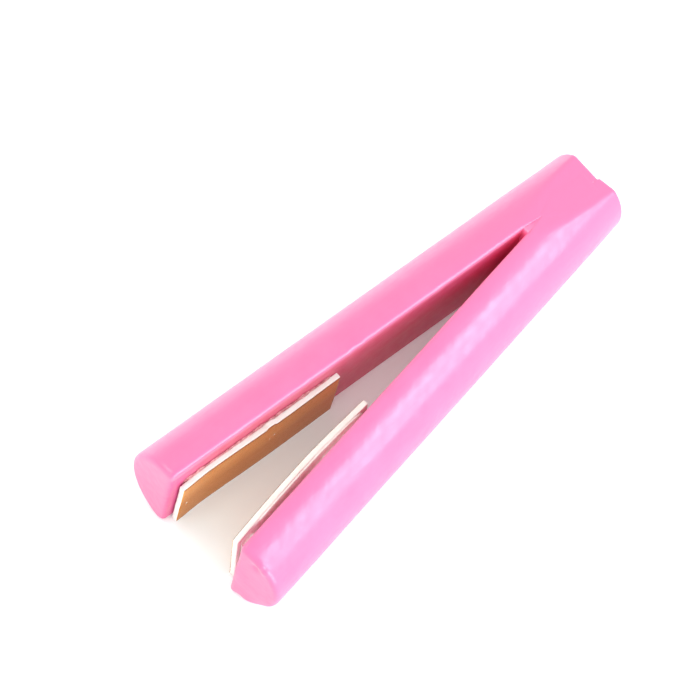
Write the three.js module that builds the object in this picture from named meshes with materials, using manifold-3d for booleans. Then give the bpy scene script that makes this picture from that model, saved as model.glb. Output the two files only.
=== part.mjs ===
// A hand-made miniature hair straightener at one-twelfth scale.
// Two half-round wooden sticks are glued into a fork and stand open as a narrow V. Each carries
// a card backing with a metallic face on its flat inner side. Millimetres, +Z up.
// The fork is at -X, the open tips are at +X, and the part rests on the sticks' undersides.

import * as THREE from 'three';
import { mergeVertices } from 'three/addons/utils/BufferGeometryUtils.js';
import Module from 'manifold-3d';

// Sticks
const STICK_DIAMETER = 4.8; // of the round stick that was split in two
const REST_FLAT_DEPTH = 0.05; // rubbed off the underside, so that each half lies steady
const EDGE_RADIUS = 0.16; // paint rounds the long edges of the flat side
const END_BEVEL = 0.12; // and the edges of the sawn ends
const OPENING_ANGLE = THREE.MathUtils.degToRad(11.2); // between the two flat sides

// Distances along a stick are counted from the apex, where the two flat sides would meet.
const REAR_TIP = 21.7;
const REAR_BUTT = 3.55;
const FRONT_TIP = 21.8;
const FRONT_BUTT = 3.6;

// The top of the fork is sanded down towards its end
const SANDED_START = 0.75; // ahead of the apex
const SANDED_DROP = 0.6; // at the fork's end

// Neighbouring layers are held apart by this gap, so that no two solids touch
const LAYER_GAP = 0.02;
const GLUE_FILM = 0.03;
const CARD_THICKNESS = 0.26;
const FOIL_THICKNESS = 0.03;

// Plates
const PLATE_START = 12.1; // the end nearest the fork
const PLATE_END = 21.15; // the end nearest the tip
const PLATE_BOTTOM = 0.06;
const PLATE_HEIGHT = 3.3;
const FOIL_INSET = 0.03; // the metallic face stops just short of the card's cut edges
const FRONT_PLATE_OFFSET = 0.16; // the front plate stands off its stick on thick glue
const FRONT_PLATE_LEAN = THREE.MathUtils.degToRad(5); // its top leans into the V

// Glue
const WEB_LENGTH = 1.35; // glue fills the narrow end of the V up to here
const FORK_GLUE_RECESS = 0.15;
const PLATE_GLUE_INSET = 0.3;
const FRONT_GLUE_BOTTOM = 0.4;
const FRONT_GLUE_TOP = 2.8;

const ARC_STEPS = 40;
const CORNER_STEPS = 4;
const CUTTER_SIZE = 40;

const radius = STICK_DIAMETER / 2;
const axisHeight = radius - REST_FLAT_DEPTH;
const stickTop = axisHeight + radius;

const wasm = await Module();
wasm.setup();

function toSolid(geometry) {
  const bare = geometry.clone();
  bare.deleteAttribute('normal');
  bare.deleteAttribute('uv');
  const merged = mergeVertices(bare, 1e-5);
  const vertProperties = new Float32Array(merged.attributes.position.array);
  const triVerts = new Uint32Array(merged.index.array);
  return new wasm.Manifold(new wasm.Mesh({ numProp: 3, vertProperties, triVerts }));
}

function subtract(geometry, ...cutters) {
  const left = cutters.reduce((solid, cutter) => solid.subtract(toSolid(cutter)), toSolid(geometry));
  const mesh = left.getMesh();
  const result = new THREE.BufferGeometry();
  result.setAttribute('position', new THREE.BufferAttribute(mesh.vertProperties, 3));
  result.setIndex(new THREE.BufferAttribute(mesh.triVerts, 1));
  return result;
}

// A stick's own frame: +X along it towards the tip, Y = 0 on its flat side, +Z up.
// A section is drawn with its first coordinate along Y and its second along Z.
function extrudeAlong(section, start, end, bevel = 0) {
  const geometry = new THREE.ExtrudeGeometry(section, {
    depth: end - start - 2 * bevel,
    bevelEnabled: bevel > 0,
    bevelThickness: bevel,
    bevelSize: bevel,
    bevelOffset: -bevel,
    bevelSegments: 2,
  });
  geometry.applyMatrix4(new THREE.Matrix4().makeBasis(
    new THREE.Vector3(0, 1, 0), new THREE.Vector3(0, 0, 1), new THREE.Vector3(1, 0, 0)));
  geometry.translate(start + bevel, 0, 0);
  return geometry;
}

function slab(start, end, inner, outer, bottom, top) {
  const geometry = new THREE.BoxGeometry(end - start, Math.abs(outer - inner), top - bottom);
  geometry.translate((start + end) / 2, (inner + outer) / 2, (bottom + top) / 2);
  return geometry;
}

// side is +1 or -1: the way the round back of the stick faces along Y
function halfRoundSection(side) {
  const points = [];
  const addArc = (y, z, arcRadius, from, to, steps, first = 0) => {
    for (let i = first; i <= steps; i++) {
      const angle = from + ((to - from) * i) / steps;
      points.push(new THREE.Vector2(side * (y + arcRadius * Math.cos(angle)),
        z + arcRadius * Math.sin(angle)));
    }
  };
  // The top corner's arc touches both the flat side and the round back
  const cornerDrop = Math.sqrt((radius - EDGE_RADIUS) ** 2 - EDGE_RADIUS ** 2);
  const cornerAngle = Math.atan2(cornerDrop, EDGE_RADIUS);
  const restAngle = -Math.asin(axisHeight / radius);
  addArc(EDGE_RADIUS, EDGE_RADIUS, EDGE_RADIUS, Math.PI, Math.PI * 1.5, CORNER_STEPS);
  addArc(0, axisHeight, radius, restAngle, cornerAngle, ARC_STEPS);
  addArc(EDGE_RADIUS, axisHeight + cornerDrop, EDGE_RADIUS, cornerAngle, Math.PI, CORNER_STEPS, 1);
  return new THREE.Shape(points);
}

// Everything above the sanded top of the fork, in the frame of a stick turned by angle
function sandedAway(angle) {
  const slope = Math.atan2(SANDED_DROP, FRONT_BUTT + SANDED_START);
  const geometry = new THREE.BoxGeometry(CUTTER_SIZE, CUTTER_SIZE, CUTTER_SIZE);
  geometry.translate(0, 0, CUTTER_SIZE / 2);
  geometry.rotateY(-slope);
  geometry.translate(SANDED_START, 0, stickTop);
  geometry.rotateZ(-angle);
  return geometry;
}

// Everything beyond the rear stick's flat side, in the front stick's frame
function mitreAway() {
  const joint = GLUE_FILM + 2 * LAYER_GAP;
  const geometry = new THREE.BoxGeometry(CUTTER_SIZE, CUTTER_SIZE, CUTTER_SIZE);
  geometry.translate(0, joint - CUTTER_SIZE / 2, 0);
  geometry.rotateZ(-OPENING_ANGLE);
  return geometry;
}

// The film in the fork's joint and the web that fills the narrow end of the V, in plan
function forkGlue() {
  const filmInner = LAYER_GAP;
  const filmOuter = LAYER_GAP + GLUE_FILM;
  const spread = Math.tan(OPENING_ANGLE);
  const clearance = LAYER_GAP / Math.cos(OPENING_ANGLE);
  const butt = FORK_GLUE_RECESS - REAR_BUTT;
  const plan = new THREE.Shape([
    new THREE.Vector2(butt, filmInner),
    new THREE.Vector2(WEB_LENGTH, filmInner),
    new THREE.Vector2(WEB_LENGTH, WEB_LENGTH * spread - clearance),
    new THREE.Vector2((filmOuter + clearance) / spread, filmOuter),
    new THREE.Vector2(butt, filmOuter),
  ]);
  const depth = stickTop - 2 * FORK_GLUE_RECESS;
  const geometry = new THREE.ExtrudeGeometry(plan, { depth, bevelEnabled: false });
  geometry.translate(0, 0, FORK_GLUE_RECESS);
  return subtract(geometry, sandedAway(-OPENING_ANGLE / 2));
}

// A wedge of glue between the front stick and its leaning card
function frontPlateGlue() {
  const cardBack = (z) => -FRONT_PLATE_OFFSET - Math.tan(FRONT_PLATE_LEAN) * (z - PLATE_BOTTOM);
  const section = new THREE.Shape([
    new THREE.Vector2(-LAYER_GAP, FRONT_GLUE_BOTTOM),
    new THREE.Vector2(-LAYER_GAP, FRONT_GLUE_TOP),
    new THREE.Vector2(cardBack(FRONT_GLUE_TOP) + LAYER_GAP, FRONT_GLUE_TOP),
    new THREE.Vector2(cardBack(FRONT_GLUE_BOTTOM) + LAYER_GAP, FRONT_GLUE_BOTTOM),
  ]);
  return extrudeAlong(section, PLATE_START + PLATE_GLUE_INSET, PLATE_END - PLATE_GLUE_INSET);
}

// A plate's card and metallic face, stacked along Y from a starting height above the flat side
function addPlate(group, name, inward, cardBack) {
  const layer = (depth, thickness, inset) => slab(
    PLATE_START + inset, PLATE_END - inset,
    inward * depth, inward * (depth + thickness),
    inset, PLATE_HEIGHT - inset);
  const foilBack = cardBack + CARD_THICKNESS + LAYER_GAP;
  addMesh(group, `${name}_card`, layer(cardBack, CARD_THICKNESS, 0), card);
  addMesh(group, `${name}_foil`, layer(foilBack, FOIL_THICKNESS, FOIL_INSET), foil);
}

function addMesh(group, name, geometry, finish) {
  const mesh = new THREE.Mesh(geometry, new THREE.MeshStandardMaterial(finish));
  mesh.name = name;
  group.add(mesh);
}

const paint = { color: 0xf88fc6, roughness: 0.45, metalness: 0 };
const card = { color: 0xf8f4ea, roughness: 0.9, metalness: 0 };
const foil = { color: 0xc07a45, roughness: 0.35, metalness: 0.9 };
const glue = { color: 0xecc3cf, roughness: 0.3, metalness: 0 };

const rearStick = new THREE.Group();
rearStick.rotation.z = -OPENING_ANGLE / 2;
addMesh(rearStick, 'rear_arm', subtract(
  extrudeAlong(halfRoundSection(-1), -REAR_BUTT, REAR_TIP, END_BEVEL),
  sandedAway(-OPENING_ANGLE / 2)), paint);
addMesh(rearStick, 'fork_glue', forkGlue(), glue);

const rearCardBack = GLUE_FILM + 2 * LAYER_GAP;
addMesh(rearStick, 'rear_plate_glue', slab(
  PLATE_START + PLATE_GLUE_INSET, PLATE_END - PLATE_GLUE_INSET,
  LAYER_GAP, LAYER_GAP + GLUE_FILM,
  PLATE_BOTTOM + PLATE_GLUE_INSET, PLATE_BOTTOM + PLATE_HEIGHT - PLATE_GLUE_INSET), glue);
const rearPlate = new THREE.Group();
rearPlate.position.z = PLATE_BOTTOM;
addPlate(rearPlate, 'rear_plate', 1, rearCardBack);
rearStick.add(rearPlate);

const frontStick = new THREE.Group();
frontStick.rotation.z = OPENING_ANGLE / 2;
addMesh(frontStick, 'front_arm', subtract(
  extrudeAlong(halfRoundSection(1), -FRONT_BUTT, FRONT_TIP, END_BEVEL),
  mitreAway(), sandedAway(OPENING_ANGLE / 2)), paint);
addMesh(frontStick, 'front_plate_glue', frontPlateGlue(), glue);
const frontPlate = new THREE.Group();
frontPlate.position.set(0, -FRONT_PLATE_OFFSET, PLATE_BOTTOM);
frontPlate.rotation.x = FRONT_PLATE_LEAN;
addPlate(frontPlate, 'front_plate', -1, 0);
frontStick.add(frontPlate);

// The origin is the middle of the part's footprint, on the surface that it rests on
const fork = new THREE.Group();
fork.add(rearStick, frontStick);
const extent = new THREE.Box3().setFromObject(fork, true);
const middle = extent.getCenter(new THREE.Vector3());
fork.position.set(-middle.x, -middle.y, -extent.min.z);

const part = new THREE.Group();
part.add(fork);

export default part;
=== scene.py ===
"""Looks for a hand-made miniature hair straightener: painted half-round sticks glued into a V.

Lengths are millimetres until a mesh is placed, where they become metres. The floor, the lamps
and the camera's distance are in metres.
A stick's own frame has its origin at the apex of the V, where the two flat inner sides would
meet. "along" runs towards the tip, "out" runs away from the flat side, and "up" is up.
"""

import math

import bmesh
import bpy
import numpy as np
from mathutils import Matrix, Vector, noise


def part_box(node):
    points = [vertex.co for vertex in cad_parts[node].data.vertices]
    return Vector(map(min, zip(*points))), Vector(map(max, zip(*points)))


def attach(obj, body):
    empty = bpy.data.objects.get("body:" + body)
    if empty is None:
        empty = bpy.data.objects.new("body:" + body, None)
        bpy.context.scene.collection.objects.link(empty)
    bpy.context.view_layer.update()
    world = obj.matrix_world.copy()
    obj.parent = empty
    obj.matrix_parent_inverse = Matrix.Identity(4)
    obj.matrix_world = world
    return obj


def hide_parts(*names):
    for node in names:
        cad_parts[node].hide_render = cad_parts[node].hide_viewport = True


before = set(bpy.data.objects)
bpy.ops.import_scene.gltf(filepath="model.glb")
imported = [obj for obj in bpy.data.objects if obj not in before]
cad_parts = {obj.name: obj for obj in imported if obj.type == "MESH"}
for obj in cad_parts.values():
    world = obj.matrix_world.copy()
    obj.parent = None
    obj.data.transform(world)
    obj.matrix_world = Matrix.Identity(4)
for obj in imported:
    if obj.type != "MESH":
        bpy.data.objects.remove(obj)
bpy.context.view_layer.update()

# ---------------------------------------------------------------- driving dimensions, in mm

MM = 0.001
RADIUS = 2.4
REST_FLAT = 0.05
AXIS_UP = RADIUS - REST_FLAT
STICK_TOP = AXIS_UP + RADIUS
HALF_ANGLE = math.radians(5.6)
OPENING = 2 * HALF_ANGLE
REAR_TIP, REAR_BUTT = 21.7, 3.55
FRONT_TIP, FRONT_BUTT = 21.8, 3.6
SANDED_START, SANDED_DROP = 0.75, 0.6
SANDED_SLOPE = SANDED_DROP / (FRONT_BUTT + SANDED_START)

# How widely a stick's corners are rounded. The inner ones are sharp along the seam, and grow to
# LONG_EDGE between the two distances in SEAM_END.
LONG_EDGE = 0.24
TIP_EDGE = 0.30
BUTT_EDGE = 0.22
FACET_EDGE = 0.09
REST_EDGE = 0.02
SEAM_EDGE = 0.002
SEAM_END = (0.2, 1.3)
SEAM_OVERLAP = 0.03

PLATE_START, PLATE_END = 12.1, 21.15
PLATE_BOTTOM, PLATE_HEIGHT = 0.06, 3.3
CARD_THICKNESS = 0.26
FOIL_THICKNESS = 0.025
FOIL_INSET = 0.02
REAR_CARD_GAP = 0.04
FRONT_CARD_GAP = 0.16
FRONT_LEAN = math.radians(5)
FRONT_BOW = 0.10

# Height of the lower side of the front card's glue, and of the web of glue in the V's corner
GLUE_BOTTOM = 0.3
# The painted skin of glue over the seam, and the web, which rounds off at its end
SKIN_REACH = 0.85
SKIN_SIDE = 0.05
SKIN_INSET = 0.12
SKIN_PROUD = 0.012
SKIN_BOTTOM = 2.0
SKIN_RINGS, SKIN_POINTS = 110, 40
WEB_END = 1.25
WEB_ROUND_START, WEB_ROUND_LENGTH = 0.1, 0.11
WEB_FALL = 0.35


# ---------------------------------------------------------------- small helpers

def smooth_max(a, b, width):
    """The larger of two fields, with the corner between them rounded over width."""
    near = np.maximum(width - np.abs(a - b), 0.0)
    return np.maximum(a, b) + near * near / (4 * width)


def ease(value, start, end):
    """0 before start, 1 after end and smooth between."""
    t = np.clip((value - start) / (end - start), 0.0, 1.0)
    return t * t * (3 - 2 * t)


def wobble(points, size, seed):
    """Smooth noise from about -1 to 1, with features of the given size or sizes in mm."""
    scaled = np.asarray(points, float) / np.asarray(size, float)
    scaled = scaled + np.array([seed * 7.31, seed * 3.17, seed * 5.73])
    return np.array([noise.noise(Vector(p)) for p in scaled])


def spread(count, weight, low, high, samples=2000):
    """Count + 1 values from low to high, closer together where weight(value) is larger."""
    value = np.linspace(low, high, samples)
    total = np.cumsum(weight(value))
    total = (total - total[0]) / (total[-1] - total[0])
    return np.interp(np.linspace(0, 1, count + 1), total, value)


def to_part(points, side, apex):
    """From a stick's (along, out, up) to the part's frame. side is -1 for the rear stick."""
    along, out, up = points.T
    turn = side * HALF_ANGLE
    x = along * math.cos(turn) - side * out * math.sin(turn)
    y = along * math.sin(turn) + side * out * math.cos(turn)
    return np.stack([x + apex[0], y + apex[1], up], axis=1)


def new_piece(name, points, faces, material, node):
    """A smooth-shaded mesh, in metres, that stands for a CAD node and rides with it."""
    mesh = bpy.data.meshes.new(name)
    mesh.from_pydata((points * MM).tolist(), [], faces)
    mesh.validate()
    mesh.update()
    mesh.polygons.foreach_set("use_smooth", [True] * len(mesh.polygons))
    piece = bpy.data.objects.new(name, mesh)
    bpy.context.scene.collection.objects.link(piece)
    make_normals_point_out(piece)
    mesh.materials.append(material)
    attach(piece, "root")
    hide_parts(node)


def make_normals_point_out(piece):
    shape = bmesh.new()
    shape.from_mesh(piece.data)
    bmesh.ops.recalc_face_normals(shape, faces=shape.faces)
    shape.to_mesh(piece.data)
    shape.free()


def ring_faces(rings, count):
    """Quads between closed rings of points, with a fan to one pole point at each end."""
    faces = []
    for ring in range(rings - 1):
        base = ring * count
        for i in range(count):
            j = (i + 1) % count
            faces.append((base + i, base + j, base + count + j, base + count + i))
    first_pole = rings * count
    last = (rings - 1) * count
    for i in range(count):
        j = (i + 1) % count
        faces.append((j, i, first_pole))
        faces.append((last + i, last + j, first_pole + 1))
    return faces


# ---------------------------------------------------------------- the sticks

# A point well inside a stick's section, as (out, up), from which its surface is found
STICK_CENTRE = (1.1, 2.3)
SECTION_POINTS = 190
RING_SPACING = 0.11
END_DEPTH = 1.0
END_RINGS = 44
LAST_RING = 0.985
SEARCH_REACH, SEARCH_STEPS = 6.0, 34
CORNER_WEIGHT, CORNER_LIMIT = 0.18, 0.2


def stick_field(points, tip, butt, mitred):
    """Below 0 inside a painted stick, above 0 outside it."""
    along, out, up = points[..., 0], points[..., 1], points[..., 2]
    round_back = np.hypot(out, up - AXIS_UP) - RADIUS
    forward = along * math.cos(HALF_ANGLE) - out * math.sin(HALF_ANGLE)
    above = up - STICK_TOP - SANDED_SLOPE * (forward - SANDED_START)
    body = smooth_max(round_back, above / math.hypot(1, SANDED_SLOPE), FACET_EDGE)
    body = smooth_max(body, -butt - along, BUTT_EDGE)
    body = smooth_max(body, -up, REST_EDGE)
    body = smooth_max(body, -out, SEAM_EDGE + LONG_EDGE * ease(along, *SEAM_END))
    if mitred:
        mitre = -(out * math.cos(OPENING) + along * math.sin(OPENING)) - SEAM_OVERLAP
        body = np.maximum(body, mitre)
    return smooth_max(body, along - tip, TIP_EDGE)


def cast(origins, directions, field):
    """Where each ray from inside leaves the field's solid."""
    low = np.zeros(origins.shape[:-1])
    high = np.full(origins.shape[:-1], SEARCH_REACH)
    for _ in range(SEARCH_STEPS):
        middle = (low + high) / 2
        inside = field(origins + directions * middle[..., None]) < 0
        low = np.where(inside, middle, low)
        high = np.where(inside, high, middle)
    return origins + directions * low[..., None]


def section_angles():
    """Angles round a stick's section, closer together at its two corners."""
    angle = np.linspace(0, 2 * math.pi, 1440, endpoint=False)
    origin = np.array([8.0, *STICK_CENTRE])

    def field(points):
        return stick_field(points, REAR_TIP, REAR_BUTT, False)

    rays = np.stack([np.zeros_like(angle), np.cos(angle), np.sin(angle)], axis=1)
    outline = cast(np.tile(origin, (len(angle), 1)), rays, field)
    step = np.roll(outline, -1, axis=0) - outline
    length = np.linalg.norm(step, axis=1)
    heading = np.unwrap(np.arctan2(step[:, 2], step[:, 1]))
    turning = np.abs(np.roll(heading, -1) - heading)
    turning[-1] = 0
    cost = np.cumsum(length + CORNER_WEIGHT * np.minimum(turning, CORNER_LIMIT))
    cost = np.concatenate([[0], cost])
    return np.interp(np.linspace(0, cost[-1], SECTION_POINTS, endpoint=False), cost,
                     np.append(angle, 2 * math.pi))


def near_rim(t):
    """More rings where an end's flat face turns into its sides."""
    return 1 + 3.2 * np.exp(-((t - 0.5) / 0.13) ** 2)


def end_rings(end, inward, across, field):
    """Rings from a stick's side round to one end's face, and the pole in its middle."""
    count = len(across)
    start = np.array([end + inward * END_DEPTH, *STICK_CENTRE])
    starts = np.tile(start, (count, 1))
    reach = np.linalg.norm(cast(starts, across, field) - start, axis=1)
    rings = []
    for t in spread(END_RINGS, near_rim, 0, LAST_RING):
        ray = across * (reach * (1 - max(2 * t - 1, 0.0)))[:, None]
        ray[:, 0] -= inward * min(2 * t, 1.0) * END_DEPTH
        ray /= np.linalg.norm(ray, axis=1)[:, None]
        rings.append(cast(starts, ray, field))
    pole_ray = np.array([[-inward, 0.0, 0.0]])
    return rings, cast(start[None], pole_ray, field)


def stick_points(tip, butt, field):
    """Rings of points on a stick's surface, then the pole at its butt and at its tip."""
    angles = section_angles()
    across = np.stack([np.zeros_like(angles), np.cos(angles), np.sin(angles)], axis=1)
    butt_rings, butt_pole = end_rings(-butt, 1, across, field)
    tip_rings, tip_pole = end_rings(tip, -1, across, field)
    length = tip + butt - 2 * END_DEPTH
    middle = np.linspace(END_DEPTH - butt, tip - END_DEPTH, int(length / RING_SPACING))
    rings = butt_rings[::-1]
    for along in middle[1:-1]:
        starts = np.tile(np.array([along, *STICK_CENTRE]), (len(across), 1))
        rings.append(cast(starts, across, field))
    rings += tip_rings
    points = np.concatenate([*rings, butt_pole, tip_pole])
    return points, ring_faces(len(rings), len(across))


def outward(points, field, step=0.01):
    """The field's outward direction at each point."""
    slope = np.stack([field(points + step * axis) - field(points - step * axis)
                      for axis in np.eye(3)], axis=1)
    return slope / np.maximum(np.linalg.norm(slope, axis=1), 1e-9)[:, None]


CROSS_STROKE = np.array(Matrix.Rotation(math.radians(35), 3, "Z"))


def paint_relief(placed):
    """How far hand-brushed paint stands proud, in mm, on a stick's surface."""
    slow = 0.008 * wobble(placed, 2.6, 1)
    strokes = 0.0035 * wobble(placed, (2.0, 0.42, 0.42), 2)
    cross = 0.003 * wobble(placed @ CROSS_STROKE.T, (1.3, 0.3, 0.5), 4)
    return slow + strokes + cross


def bumps(points, spots):
    """Raised lumps: each spot is (along, out, up, radius, height)."""
    total = np.zeros(len(points))
    for *centre, size, height in spots:
        gap = np.linalg.norm(points - np.array(centre), axis=1)
        total += height * np.exp(-(gap / size) ** 2)
    return total


# Lumps of dried paint along the rear stick's upper inner edge, and the marks on the front tip
REAR_LUMPS = [
    (11.55, 0.05, STICK_TOP - 0.05, 0.2, 0.05),
    (10.75, 0.05, STICK_TOP - 0.05, 0.16, 0.045),
    (14.1, 0.05, STICK_TOP - 0.08, 0.3, 0.02),
    (6.4, 0.05, STICK_TOP - 0.08, 0.35, 0.018),
    (17.9, 0.05, STICK_TOP - 0.08, 0.28, 0.015),
]
FRONT_LUMPS = [
    (FRONT_TIP - 0.1, 1.15, 4.35, 0.2, 0.05),
    (FRONT_TIP - 0.1, 1.45, 4.1, 0.2, 0.045),
    (FRONT_TIP, 0.95, 4.0, 0.22, -0.07),
    (FRONT_TIP + 0.1, 0.55, 0.05, 0.28, -0.12),
    (FRONT_TIP, 1.7, 0.75, 0.5, -0.05),
    (FRONT_TIP, 0.1, 2.2, 0.6, 0.03),
    (-1.2, 0.9, 4.5, 0.18, 0.012),
]


def make_stick(name, node, tip, butt, side, mitred, lumps, material):
    """One painted stick, with its brush marks and lumps in the mesh."""
    def field(points):
        return stick_field(points, tip, butt, mitred)

    points, faces = stick_points(tip, butt, field)
    away = outward(points, field)
    placed = to_part(points, side, (0, 0))
    keep_flat = ease(points[:, 2], 0.0, 0.3)
    relief = paint_relief(placed) * keep_flat + bumps(points, lumps)
    points = points + away * relief[:, None]
    points[:, 2] = np.maximum(points[:, 2], 0.0)
    new_piece(name, to_part(points, side, APEX), faces, material, node)


def find_apex():
    """The apex of the V in the part's frame, in mm, from the rear stick's CAD box."""
    low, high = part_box("rear_arm")
    tip_x = REAR_TIP * math.cos(HALF_ANGLE)
    low_y = -REAR_TIP * math.sin(HALF_ANGLE) - RADIUS * math.cos(HALF_ANGLE)
    return np.array([high.x / MM - tip_x, low.y / MM - low_y])


# ---------------------------------------------------------------- cards, metallic faces and glue

PLATE_MIDDLE = np.array([(PLATE_START + PLATE_END) / 2, PLATE_HEIGHT / 2])
MESH_PITCH = 0.07
CUT_ROUGHNESS = 0.016
CARD_BEVEL = 0.02
FACE_GAP = 0.001
# Where the blade was lifted on the rear card: how far along, and how far the edge steps up
REAR_CARD_STEPS = ((16.35, -0.16), (15.9, 0.16))


def sheet_faces(index, rim_index):
    """The faces of a sheet's two sides and of the rim between them."""
    faces = []
    columns, rows = index.shape
    for i in range(columns - 1):
        for j in range(rows - 1):
            quad = (index[i, j], index[i + 1, j], index[i + 1, j + 1], index[i, j + 1])
            faces.append(tuple(int(v) for v in quad))
            faces.append(tuple(int(v) + index.size for v in quad[::-1]))
    for upper, lower in zip(rim_index[:-1], rim_index[1:]):
        for k in range(len(upper)):
            n = (k + 1) % len(upper)
            faces.append((int(upper[k]), int(lower[k]), int(lower[n]), int(upper[n])))
    return faces


def sheet_solid(start, end, bottom, top, depths, edge):
    """A thin sheet as (along, depth, up) points: two faces joined by a ragged cut rim.

    depths are the rim's rows from one face to the other. edge(flat, row) says how far the
    outline moves at each (along, up) point on a row, as (along, up).
    """
    columns = int(round((end - start) / MESH_PITCH)) + 1
    rows = int(round((top - bottom) / MESH_PITCH)) + 1
    along, up = np.meshgrid(np.linspace(start, end, columns), np.linspace(bottom, top, rows),
                            indexing="ij")
    flat = np.stack([along, up], axis=-1).reshape(-1, 2)
    index = np.arange(columns * rows).reshape(columns, rows)
    loop = np.concatenate([index[:, 0], index[-1, 1:], index[-2::-1, -1], index[0, -2:0:-1]])
    centre = np.array([(start + end) / 2, (bottom + top) / 2])
    reach = np.array([(end - start) / 2, (top - bottom) / 2])
    share = np.abs(flat - centre) / reach

    def warped(row):
        shift = edge(flat, row)
        moved = flat.copy()
        for axis in (0, 1):
            pull = ease(share[:, axis], 1 - 0.5 / reach[axis], 1.0)
            moved[:, axis] += shift[:, axis] * pull
        return moved

    last = len(depths) - 1
    front, back = warped(0), warped(last)
    points = [np.column_stack([front[:, 0], np.full(len(front), depths[0]), front[:, 1]]),
              np.column_stack([back[:, 0], np.full(len(back), depths[-1]), back[:, 1]])]
    rim_index = [loop]
    offset = 2 * len(flat)
    for row in range(1, last):
        moved = warped(row)[loop]
        points.append(np.column_stack([moved[:, 0], np.full(len(loop), depths[row]), moved[:, 1]]))
        rim_index.append(np.arange(offset, offset + len(loop)))
        offset += len(loop)
    rim_index.append(loop + len(flat))
    return np.concatenate(points), sheet_faces(index, rim_index)


def cut_edge(seed, steps):
    """A hand-cut outline: slow drift, small nicks, and steps where the blade was lifted."""
    def edge(flat, row):
        along = flat[:, 0]
        up = flat[:, 1]
        zero = np.zeros_like(along)
        upper = up > 1.5
        near_tip = along > 16
        nick = zero + row * 0.11
        slow_up = 0.045 * wobble(np.column_stack([along, zero + upper, zero]), 2.2, seed)
        fine_up = wobble(np.column_stack([along, nick, zero]), 0.22, seed + 1)
        slow_along = 0.04 * wobble(np.column_stack([up, zero, zero + near_tip]), 1.6, seed + 2)
        fine_along = wobble(np.column_stack([up, nick, zero]), 0.25, seed + 3)
        for where, rise in steps:
            slow_up = slow_up + rise * ease(along, where - 0.12, where + 0.12) * upper
        return np.column_stack([slow_along + CUT_ROUGHNESS * fine_along,
                                slow_up + CUT_ROUGHNESS * fine_up])
    return edge


def rear_plate_place(points):
    """From a plate's (along, depth, up) to the rear stick's frame, with a slight warp."""
    along, depth, up = points.T
    lift = 0.02 * np.sin(along * 0.9) + 0.05 * ease(along, 19.5, 21.2)
    return np.column_stack([along, -(REAR_CARD_GAP + depth + lift), up + PLATE_BOTTOM])


def front_plate_place(points):
    """The front plate leans into the V, and bows away from its stick in the middle."""
    along, depth, up = points.T
    middle = (PLATE_START + PLATE_END) / 2
    half = (PLATE_END - PLATE_START) / 2
    bow = FRONT_BOW * (1 - ((along - middle) / half) ** 2) * ease(up, 0.2, 3.3)
    lean = FRONT_LEAN - math.radians(1.5) * ease(-along, -16, -12)
    out = -(FRONT_CARD_GAP + bow + depth * np.cos(lean) + up * np.sin(lean))
    return np.column_stack([along, out, PLATE_BOTTOM + up * np.cos(lean) - depth * np.sin(lean)])


def make_plate(name, side, place, seed, steps, materials):
    """A card with its metallic face laminated on the side that faces into the V."""
    edge = cut_edge(seed, steps)
    depths = [0, CARD_BEVEL, CARD_THICKNESS * 0.35, CARD_THICKNESS * 0.65,
              CARD_THICKNESS - CARD_BEVEL, CARD_THICKNESS]

    def card_edge(flat, row):
        shift = edge(flat, row)
        if row in (0, len(depths) - 1):
            shift = shift - np.sign(flat - PLATE_MIDDLE) * CARD_BEVEL * 0.7
        return shift

    def foil_edge(flat, _row):
        return edge(flat, len(depths) - 1) - FOIL_INSET * np.sign(flat - PLATE_MIDDLE)

    points, faces = sheet_solid(PLATE_START, PLATE_END, 0, PLATE_HEIGHT, depths, card_edge)
    new_piece(f"{name}_card_hand_cut", to_part(place(points), side, APEX), faces,
              materials["card"], f"{name}_card")

    foil_back = CARD_THICKNESS + FACE_GAP
    foil_depths = [foil_back, foil_back + FOIL_THICKNESS]
    points, faces = sheet_solid(PLATE_START, PLATE_END, 0, PLATE_HEIGHT, foil_depths, foil_edge)
    new_piece(f"{name}_metal_face", to_part(place(points), side, APEX), faces,
              materials["foil"], f"{name}_foil")


GLUE_END_SHARPNESS, GLUE_END_SIZE = 24, 0.0004


def swept(start, end, section, count):
    """A closed body along a stick. section(along, turn, shut) gives its ring as (out, up).

    shut is 1 along the body and falls to almost 0 at its rounded ends.
    """
    turn = np.linspace(0, 2 * math.pi, count, endpoint=False)
    stations = np.linspace(start, end, int((end - start) / MESH_PITCH) + 1)
    rings = []
    for along in stations:
        from_middle = 2 * (along - start) / (end - start) - 1
        shut = math.sqrt(max(1 - from_middle ** GLUE_END_SHARPNESS, GLUE_END_SIZE))
        out, up = section(along, turn, shut)
        rings.append(np.column_stack([np.full(count, along), out, up]))
    poles = [rings[0].mean(axis=0)[None], rings[-1].mean(axis=0)[None]]
    return np.concatenate(rings + poles), ring_faces(len(rings), count)


def one_wobble(along, size, seed):
    """Smooth noise along a stick, from about -1 to 1."""
    return noise.noise(Vector((along / size + seed * 3.7, seed * 1.9, 0.4)))


# Where the rear bead swells: how far along, and how much
REAR_GLUE_LUMPS = [(20.0, 0.7), (16.6, 0.9), (15.4, 0.5), (14.0, 1.0), (12.8, 0.6)]
LUMP_WIDTH, LARGEST_LUMP = 0.22, 1.2
REAR_GLUE_BOTTOM = 0.5


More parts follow.
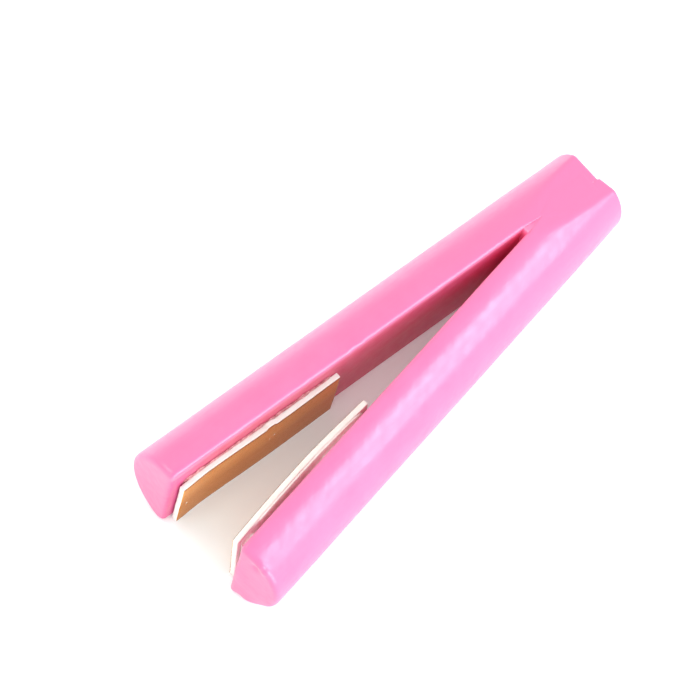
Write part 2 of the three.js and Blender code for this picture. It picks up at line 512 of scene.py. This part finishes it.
def rear_glue_section(along, turn, shut):
    """A thin film behind the card that swells into a lumpy bead along its upper edge."""
    lump = max(one_wobble(along, 0.6, 5) + 0.1 * one_wobble(along, 0.2, 6), 0.0)
    for where, size in REAR_GLUE_LUMPS:
        lump += size * math.exp(-((along - where) / LUMP_WIDTH) ** 2)
    lump = min(lump, LARGEST_LUMP)
    top = PLATE_BOTTOM + PLATE_HEIGHT + (0.16 + 0.16 * lump) * shut
    thick = 0.05 + 0.02 * lump
    out = -REAR_CARD_GAP / 2 + thick * np.cos(turn) * shut
    centre = (top + REAR_GLUE_BOTTOM) / 2
    half = (top - REAR_GLUE_BOTTOM) / 2
    up = centre + half * np.sign(np.sin(turn)) * np.abs(np.sin(turn)) ** 0.35
    return out, up


def front_glue_section(along, turn, shut):
    """A bead of glue behind the leaning card: high against the card, low beside the stick."""
    ragged = 0.5 * one_wobble(along, 1.1, 8) + 0.3 * one_wobble(along, 0.3, 9)
    high = PLATE_BOTTOM + PLATE_HEIGHT - 0.05 + 0.02 * ragged
    low = 2.9 - 0.7 * ease(along, 15.0, 16.8) * (1 - ease(along, 19.2, 20.3)) + 0.25 * ragged
    share = 0.5 + 0.5 * np.clip(np.cos(turn) * 1.15, -1, 1)
    crest = 0.72 + 0.2 * ease(along, 19.3, 20.6) + 0.04 * ragged
    top = low + (high - low) * ease(share, crest - 0.16, crest)
    up = np.where(np.sin(turn) > 0, GLUE_BOTTOM + (top - GLUE_BOTTOM) * shut, GLUE_BOTTOM)
    card = -front_plate_place(np.column_stack([np.full(len(turn), along), 0 * turn, up]))[:, 1]
    return 0.02 - share * (card + 0.1) * shut, up


def make_glue(name, node, section, side, material, starts_in, ends_in):
    """Glue behind a card, starting and ending a little in from the card's ends."""
    points, faces = swept(PLATE_START + starts_in, PLATE_END - ends_in, section, 48)
    new_piece(name, to_part(points, side, APEX), faces, material, node)


def fork_top(along, across):
    """Height of the sanded joint. across runs from the rear stick's flat side to the front's."""
    gap = np.maximum(along, 0.0) * math.tan(OPENING)
    out = np.maximum(np.maximum(-across, across - gap), 0.0)
    round_top = AXIS_UP + np.sqrt(RADIUS ** 2 - out ** 2)
    forward = along * math.cos(HALF_ANGLE) + across * math.sin(HALF_ANGLE)
    sanded = STICK_TOP + SANDED_SLOPE * (forward - SANDED_START)
    return -smooth_max(-round_top, -sanded, FACET_EDGE)


def make_fork_filler(material):
    """Painted glue: a skin over the seam that runs on as a web in the corner of the V."""
    side_share = np.linspace(-1, 1, SKIN_POINTS)
    rings = []
    for along in np.linspace(SKIN_INSET - REAR_BUTT, WEB_END, SKIN_RINGS):
        gap = max(along, 0.0) * math.tan(OPENING)
        reach = SKIN_SIDE + (SKIN_REACH - SKIN_SIDE) * (1 - ease(along, -1.2, 0.45))
        across = gap / 2 + side_share * (gap / 2 + reach)
        at_butt = ease(-along, REAR_BUTT - 0.6, REAR_BUTT - SKIN_INSET)
        fade = max(at_butt, ease(along, -0.2, 0.5))
        edge = np.abs(side_share) ** 4
        up = fork_top(along, across) + SKIN_PROUD - 3 * SKIN_PROUD * np.maximum(edge, fade)
        dip = 0.05 * (0.5 - 0.5 * side_share) * ease(along, 0.3, 0.7)
        rounding = (along - WEB_END + WEB_ROUND_START) / WEB_ROUND_LENGTH
        fall = 1 - math.sqrt(1 - min(max(rounding, 0.0), 1.0) ** 2)
        up = up - dip - WEB_FALL * fall
        top = np.column_stack([np.full(SKIN_POINTS, along), -across, up])
        placed = to_part(top, -1, (0, 0))
        top[:, 2] += paint_relief(placed)
        bottom = top[::-1].copy()
        bottom[:, 2] = SKIN_BOTTOM + (GLUE_BOTTOM - SKIN_BOTTOM) * ease(along, -0.4, 0.0)
        rings.append(np.concatenate([top, bottom]))
    poles = [rings[0].mean(axis=0)[None], rings[-1].mean(axis=0)[None]]
    points = np.concatenate(rings + poles)
    faces = ring_faces(len(rings), 2 * SKIN_POINTS)
    new_piece("fork_filler_painted", to_part(points, -1, APEX), faces, material,
              "fork_glue")


# ---------------------------------------------------------------- materials

class Nodes:
    """A material's node tree, with short ways to add and join its nodes."""

    def __init__(self, name):
        self.material = bpy.data.materials.new(name)
        self.material.use_nodes = True
        self.tree = self.material.node_tree
        self.shader = self.tree.nodes["Principled BSDF"]

    def add(self, kind, **values):
        node = self.tree.nodes.new(kind)
        for key, value in values.items():
            if hasattr(node, key):
                setattr(node, key, value)
            else:
                node.inputs[key].default_value = value
        return node

    def join(self, source, target):
        self.tree.links.new(source, target)

    def set(self, **values):
        for key, value in values.items():
            self.shader.inputs[key.replace("_", " ")].default_value = value

    def place(self, size, angle=0.0, offset=(0, 0, 0)):
        """Coordinates in which one unit is the given size in mm, turned about the upright."""
        where = self.add("ShaderNodeTexCoord")
        turn = self.add("ShaderNodeMapping")
        turn.inputs["Rotation"].default_value = (0, 0, -angle)
        self.join(where.outputs["Object"], turn.inputs["Vector"])
        scale = self.add("ShaderNodeMapping")
        scale.inputs["Scale"].default_value = [1 / (s * MM) for s in size]
        scale.inputs["Location"].default_value = offset
        self.join(turn.outputs["Vector"], scale.inputs["Vector"])
        return scale.outputs["Vector"]

    def from_apex(self):
        """X, Y and Z in mm, measured from the apex of the V."""
        node = self.add("ShaderNodeSeparateXYZ")
        offset = (-float(APEX[0]), -float(APEX[1]), 0)
        self.join(self.place((1, 1, 1), offset=offset), node.inputs["Vector"])
        return node.outputs

    def upward(self):
        """1 on a face that looks straight up, 0 on an upright face."""
        geometry = self.add("ShaderNodeNewGeometry")
        split = self.add("ShaderNodeSeparateXYZ")
        self.join(geometry.outputs["True Normal"], split.inputs["Vector"])
        return split.outputs["Z"]

    def feed(self, source, socket):
        """Joins a source to a socket, or sets the socket to a number or a colour."""
        if isinstance(source, float):
            socket.default_value = source
        elif isinstance(source, tuple):
            socket.default_value = (*source, 1)
        else:
            self.join(source, socket)

    def arithmetic(self, operation, first, second):
        node = self.add("ShaderNodeMath", operation=operation)
        self.feed(first, node.inputs[0])
        self.feed(second, node.inputs[1])
        return node.outputs["Value"]

    def spot(self, centre, radius):
        """1 inside a small ball about a point in mm, falling to 0 at its soft edge."""
        node = self.add("ShaderNodeVectorMath", operation="DISTANCE")
        self.join(self.place((1, 1, 1)), node.inputs[0])
        node.inputs[1].default_value = [float(c) for c in centre]
        return self.span(node.outputs["Value"], 1, 0, radius * 0.6, radius * 1.4)

    def noise(self, vector, detail, roughness):
        node = self.add("ShaderNodeTexNoise")
        node.inputs["Scale"].default_value = 1.0
        node.inputs["Detail"].default_value = detail
        node.inputs["Roughness"].default_value = roughness
        self.join(vector, node.inputs["Vector"])
        return node.outputs["Fac"]

    def ramp(self, value, *stops):
        node = self.add("ShaderNodeValToRGB")
        ramp = node.color_ramp
        while len(ramp.elements) < len(stops):
            ramp.elements.new(0.5)
        for element, (place, colour) in zip(ramp.elements, stops):
            element.position = place
            element.color = (*colour, 1)
        self.join(value, node.inputs["Fac"])
        return node.outputs["Color"]

    def span(self, value, low, high, from_low=0.3, from_high=0.7):
        node = self.add("ShaderNodeMapRange")
        for key, number in (("From Min", from_low), ("From Max", from_high),
                            ("To Min", low), ("To Max", high)):
            node.inputs[key].default_value = number
        self.join(value, node.inputs["Value"])
        return node.outputs["Result"]

    def blend(self, share, first, second, mode="MIX"):
        node = self.add("ShaderNodeMix")
        node.data_type = "RGBA"
        node.blend_type = mode
        self.feed(share, node.inputs["Factor"])
        self.feed(first, node.inputs[6])
        self.feed(second, node.inputs[7])
        return node.outputs[2]

    def bump(self, *layers):
        """Stacks bump layers: each is (height, depth in mm, strength)."""
        normal = None
        for height, depth, strength in layers:
            node = self.add("ShaderNodeBump")
            node.inputs["Distance"].default_value = depth * MM
            node.inputs["Strength"].default_value = strength
            self.join(height, node.inputs["Height"])
            if normal is not None:
                self.join(normal, node.inputs["Normal"])
            normal = node.outputs["Normal"]
        self.join(normal, self.shader.inputs["Normal"])


PINK = (0.74, 0.118, 0.286)
PINK_DEEP = (0.73, 0.110, 0.275)
PINK_PALE = (0.75, 0.128, 0.300)
# Painted bounce light: a redder pink near the apex, for the red light bounced about in the V's
# corner
PINK_BOUNCE_LIGHT = (0.95, 0.124, 0.292)
# Painted highlight: a paler pink along the upper edge of the flat sides
PINK_EDGE_HIGHLIGHT = (0.86, 0.42, 0.58)
# Painted shade: a darker pink for the flat sides facing into the V, where little light falls
PINK_SHADED_FLAT = (0.70, 0.095, 0.190)


def flat_side(nodes, part):
    """1 on the flat sides that face into the V, 0 elsewhere."""
    sideways = nodes.arithmetic("ABSOLUTE", part["Y"], 0.0)
    sideways = nodes.arithmetic("MULTIPLY", sideways, math.cos(HALF_ANGLE))
    opened = nodes.arithmetic("MULTIPLY", part["X"], math.sin(HALF_ANGLE))
    off_flat = nodes.arithmetic("SUBTRACT", sideways, opened)
    return nodes.span(off_flat, 1, 0, 0.03, 0.12)


def pink_paint():
    """Glossy hobby paint on wood: soft brush strokes along the stick and across it.

    It is duller on the flat sides, with painted shade there, and a painted highlight along their
    upper edge. Near the apex it is redder, a painted stand-in for the red light bounced about in
    the V's corner.
    """
    nodes = Nodes("pink_paint")
    cloud = nodes.noise(nodes.place((1.6, 1.6, 1.6)), 4, 0.55)
    strokes = nodes.noise(nodes.place((3.0, 0.22, 0.22)), 1, 0.4)
    cross = nodes.noise(nodes.place((0.8, 0.34, 0.4), math.radians(38)), 1, 0.4)
    colour = nodes.ramp(cloud, (0.32, PINK_DEEP), (0.5, PINK), (0.7, PINK_PALE))
    streaked = nodes.blend(nodes.span(strokes, 0.0, 0.35), colour, PINK_PALE)
    part = nodes.from_apex()
    # Painted bounce light: redder towards the apex, over the first 9 mm of both sticks
    painted_bounce_light = nodes.span(part["X"], 1, 0, 1, 9)
    colour = nodes.blend(painted_bounce_light, streaked, PINK_BOUNCE_LIGHT)
    flat = flat_side(nodes, part)
    below_edge = nodes.span(part["Z"], 1, 0, STICK_TOP - 0.6, STICK_TOP - 0.2)
    dull = nodes.arithmetic("MULTIPLY", flat, below_edge)
    nodes.join(nodes.span(dull, 0.5, 0.12, 0, 1), nodes.shader.inputs["Specular IOR Level"])
    # Painted highlight along the upper edge of the flat sides, fading out towards the apex
    painted_edge_highlight = nodes.arithmetic("SUBTRACT", flat, dull)
    painted_edge_highlight = nodes.arithmetic("MULTIPLY", painted_edge_highlight, nodes.span(part["X"], 0, 0.28, 0.6, 2.0))
    colour = nodes.blend(painted_edge_highlight, colour, PINK_EDGE_HIGHLIGHT)
    # Painted shade on the flat sides below their upper edge, from a little way past the apex to
    # near the tips
    painted_flat_shade = nodes.arithmetic("MULTIPLY", dull, nodes.span(part["X"], 0, 1, 3.0, 8.0))
    painted_flat_shade = nodes.arithmetic("MULTIPLY", painted_flat_shade, nodes.span(part["X"], 1, 0, 19.0, 21.0))
    nodes.join(nodes.blend(painted_flat_shade, colour, PINK_SHADED_FLAT), nodes.shader.inputs["Base Color"])
    nodes.join(nodes.span(cross, 0.285, 0.35), nodes.shader.inputs["Roughness"])
    nodes.bump((strokes, 0.010, 0.5), (cross, 0.020, 0.6))
    nodes.set(IOR=1.7)
    return nodes.material


def white_card():
    """Uncoated card: soft fibres, faintly warm."""
    nodes = Nodes("white_card")
    fibres = nodes.noise(nodes.place((0.5, 0.04, 0.12), HALF_ANGLE), 4, 0.65)
    cloud = nodes.noise(nodes.place((0.7, 0.7, 0.7)), 3, 0.5)
    colour = nodes.ramp(cloud, (0.3, (0.92, 0.82, 0.75)), (0.6, (0.95, 0.90, 0.84)))
    dusty = nodes.blend(nodes.span(fibres, 0.0, 0.4), colour, (0.86, 0.76, 0.66))
    nodes.join(dusty, nodes.shader.inputs["Base Color"])
    nodes.join(nodes.span(fibres, 0.8, 0.95), nodes.shader.inputs["Roughness"])
    nodes.bump((fibres, 0.02, 0.6))
    return nodes.material


# Small pale spots, not metallic, on the rear metallic face: along, up and radius
FOIL_PALE_SPOTS = [(20.75, 1.5, 0.06), (15.8, 2.15, 0.05), (16.05, 2.0, 0.04)]


def rear_face_point(along, up):
    """A point on the rear metallic face in the part's frame, in mm."""
    depth = CARD_THICKNESS + FOIL_THICKNESS
    placed = rear_plate_place(np.array([[along, depth, up]]))
    return to_part(placed, -1, APEX)[0]


def copper_foil():
    """Metallic card facing: fine lengthwise drag marks, small dents and dull patches. It is darker
    towards the bottom and towards the fork, a painted reflection of the shaded floor at its foot.
    """
    nodes = Nodes("copper_foil")
    drag = nodes.noise(nodes.place((4.0, 0.05, 0.05), HALF_ANGLE), 3, 0.6)
    patch = nodes.noise(nodes.place((1.1, 1.1, 0.6)), 3, 0.5)
    grit = nodes.noise(nodes.place((0.09, 0.09, 0.09)), 2, 0.5)
    colour = nodes.ramp(patch, (0.3, (0.97, 0.42, 0.09)), (0.55, (1.0, 0.46, 0.12)),
                        (0.75, (1.0, 0.52, 0.16)))
    part = nodes.from_apex()
    # Painted reflection: darker towards the bottom, where the face mirrors the shaded floor at its
    # foot
    height = nodes.span(part["Z"], 0, 1, 0, PLATE_HEIGHT)
    shade = nodes.ramp(height, (0.0, (0.56, 0.40, 0.12)), (0.5, (0.67, 0.50, 0.14)),
                       (0.85, (1.0, 1.0, 1.0)))
    colour = nodes.blend(1.0, colour, shade, "MULTIPLY")
    # Painted reflection: darker towards the fork, where the floor it mirrors lies deeper in shade
    reach = nodes.span(part["X"], 0, 1, PLATE_START, PLATE_END)
    shade = nodes.ramp(reach, (0.0, (0.70, 0.38, 0.08)), (1.0, (1.0, 1.0, 1.0)))
    colour = nodes.blend(1.0, colour, shade, "MULTIPLY")
    metal = 1.0
    for along, up, size in FOIL_PALE_SPOTS:
        pale_spot = nodes.spot(rear_face_point(along, up), size)
        colour = nodes.blend(pale_spot, colour, (0.95, 0.80, 0.55))
        metal = nodes.arithmetic("SUBTRACT", metal, pale_spot)
    cut = nodes.span(nodes.upward(), 0, 1, 0.5, 0.8)
    colour = nodes.blend(cut, colour, (0.32, 0.21, 0.15))
    metal = nodes.arithmetic("SUBTRACT", metal, cut)
    nodes.join(colour, nodes.shader.inputs["Base Color"])
    nodes.join(metal, nodes.shader.inputs["Metallic"])
    nodes.join(nodes.span(grit, 0.14, 0.24), nodes.shader.inputs["Roughness"])
    nodes.bump((drag, 0.0015, 0.3), (patch, 0.02, 0.4))
    nodes.set(Specular_Tint=(1.0, 0.88, 0.75, 1.0))
    return nodes.material


def dried_glue(name, dark, middle, pale):
    """Dried glue, glossy and a little cloudy, stained by the paint in places."""
    nodes = Nodes(name)
    cloud = nodes.noise(nodes.place((0.22, 0.22, 0.22)), 3, 0.6)
    colour = nodes.ramp(cloud, (0.35, dark), (0.55, middle), (0.72, pale))
    nodes.join(colour, nodes.shader.inputs["Base Color"])
    nodes.join(nodes.span(cloud, 0.29, 0.42), nodes.shader.inputs["Roughness"])
    nodes.bump((cloud, 0.02, 0.5))
    return nodes.material


def floor_white():
    """Plain pale paper with a faint glow of its own, stronger behind the part."""
    nodes = Nodes("studio_floor")
    haze = nodes.noise(nodes.place((30, 30, 30)), 2, 0.5)
    colour = nodes.ramp(haze, (0.3, (0.90, 0.89, 0.88)), (0.7, (0.93, 0.92, 0.91)))
    nodes.join(colour, nodes.shader.inputs["Base Color"])
    behind = nodes.from_apex()["Y"]
    glow = nodes.span(behind, REAR_FLOOR_GLOW, FLOOR_GLOW, -7.5, -4.5)
    nodes.join(glow, nodes.shader.inputs["Emission Strength"])
    nodes.set(Roughness=0.75, Emission_Color=(1, 1, 1, 1))
    return nodes.material


# ---------------------------------------------------------------- stage

CAMERA_AZIMUTH = math.radians(118.0)
CAMERA_ELEVATION = math.radians(63.12)
CAMERA_ROLL = math.radians(17.82)
CAMERA_DISTANCE = 0.1809
CAMERA_LENS = 205.7
CAMERA_AIM = Vector((9.30, -2.33, 0.0)) * MM


def make_camera():
    """A long lens, so the view is nearly parallel, tilted a little to one side."""
    azimuth, elevation = CAMERA_AZIMUTH, CAMERA_ELEVATION
    back = Vector((math.sin(azimuth) * math.cos(elevation),
                   -math.cos(azimuth) * math.cos(elevation), math.sin(elevation)))
    level = Vector((math.cos(azimuth), math.sin(azimuth), 0))
    upright = back.cross(level)
    right = level * math.cos(CAMERA_ROLL) + upright * math.sin(CAMERA_ROLL)
    top = back.cross(right)
    camera = bpy.data.objects.new("camera", bpy.data.cameras.new("camera"))
    bpy.context.scene.collection.objects.link(camera)
    aim = CAMERA_AIM + Vector((APEX[0], APEX[1], 0)) * MM
    rotation = Matrix((right, top, back)).transposed().to_4x4()
    camera.matrix_world = Matrix.Translation(aim + back * CAMERA_DISTANCE) @ rotation
    camera.data.lens = CAMERA_LENS
    camera.data.clip_start, camera.data.clip_end = 0.005, 10
    bpy.context.scene.camera = camera


SKY_COLOUR, SKY_STRENGTH = (0.87, 1.0, 1.0), 1.28
FLOOR_GLOW = 0.11
REAR_FLOOR_GLOW = 0.38
# Each lamp's name, direction from the part, distance and size in metres, brightness, colour
LAMPS = [
    ("rear_high", (0.1, -0.8, 1.0), 0.35, 0.20, 2.6, (0.87, 1.0, 0.92)),
    ("tip_side", (1.0, -0.25, 0.5), 0.40, 0.25, 1.1, (1.0, 0.95, 0.95)),
    ("front_low", (0.0, 1.0, 0.14), 0.30, 0.20, 6.5, (0.95, 1.0, 0.98)),
    ("window_top", (-0.474, 0.553, 0.685), 0.30, 0.06, 14.0, (0.82, 0.88, 1.0)),
    ("window_middle", (-0.487, 0.681, 0.545), 0.30, 0.06, 5.0, (0.82, 0.88, 1.0)),
    ("window_sill", (-0.497, 0.78, 0.383), 0.30, 0.06, 9.0, (0.82, 0.88, 1.0)),
]


def area_light(name, direction, distance, size, strength, colour):
    """A square soft box at a distance, facing the part. Strength is its brightness."""
    light = bpy.data.lights.new(name, "AREA")
    light.shape = "SQUARE"
    light.size = size
    light.color = colour
    light.energy = strength * math.pi * size * size
    lamp = bpy.data.objects.new(name, light)
    toward = Vector(direction).normalized()
    lamp.location = toward * distance
    lamp.rotation_mode = "QUATERNION"
    lamp.rotation_quaternion = toward.to_track_quat("Z", "Y")
    bpy.context.scene.collection.objects.link(lamp)


FLOOR_REACH = 0.6
FLOOR_DROP = 0.00002


def make_stage():
    """The floor just under the part, the sky, the lamps and the plain view transform."""
    reach = FLOOR_REACH
    corners = [(-reach, -reach, 0), (reach, -reach, 0), (reach, reach, 0), (-reach, reach, 0)]
    mesh = bpy.data.meshes.new("studio_floor")
    mesh.from_pydata(corners, [], [(0, 1, 2, 3)])
    mesh.materials.append(floor_white())
    floor = bpy.data.objects.new("studio_floor", mesh)
    bpy.context.scene.collection.objects.link(floor)
    floor.location.z = -FLOOR_DROP
    world = bpy.data.worlds.new("studio")
    world.use_nodes = True
    sky = world.node_tree.nodes["Background"]
    sky.inputs["Color"].default_value = (*SKY_COLOUR, 1)
    sky.inputs["Strength"].default_value = SKY_STRENGTH
    bpy.context.scene.world = world
    for lamp in LAMPS:
        area_light(*lamp)
    bpy.context.scene.view_settings.view_transform = "Standard"


# ---------------------------------------------------------------- build

APEX = find_apex()
make_camera()
make_stage()

finish = {"card": white_card(), "foil": copper_foil()}
paint = pink_paint()
make_stick("rear_arm_painted", "rear_arm", REAR_TIP, REAR_BUTT, -1, False, REAR_LUMPS, paint)
make_stick("front_arm_painted", "front_arm", FRONT_TIP, FRONT_BUTT, 1, True, FRONT_LUMPS, paint)
make_fork_filler(paint)
make_plate("rear_plate", -1, rear_plate_place, 11, REAR_CARD_STEPS, finish)
make_plate("front_plate", 1, front_plate_place, 23, (), finish)
# The rear glue's dark maroon is partly its own paint stain and partly painted shade, for the dark
# line between the rear card and its stick
stained = dried_glue("glue_stained_and_shaded", (0.40, 0.08, 0.10), (0.66, 0.24, 0.27), (0.86, 0.56, 0.55))
cream = dried_glue("glue_cream", (0.88, 0.77, 0.69), (0.94, 0.89, 0.84), (0.96, 0.93, 0.90))
make_glue("rear_glue_squeezed_out", "rear_plate_glue", rear_glue_section, -1, stained, 0.35, 0.25)
make_glue("front_glue_wedge", "front_plate_glue", front_glue_section, 1, cream, 0.10, 0.08)
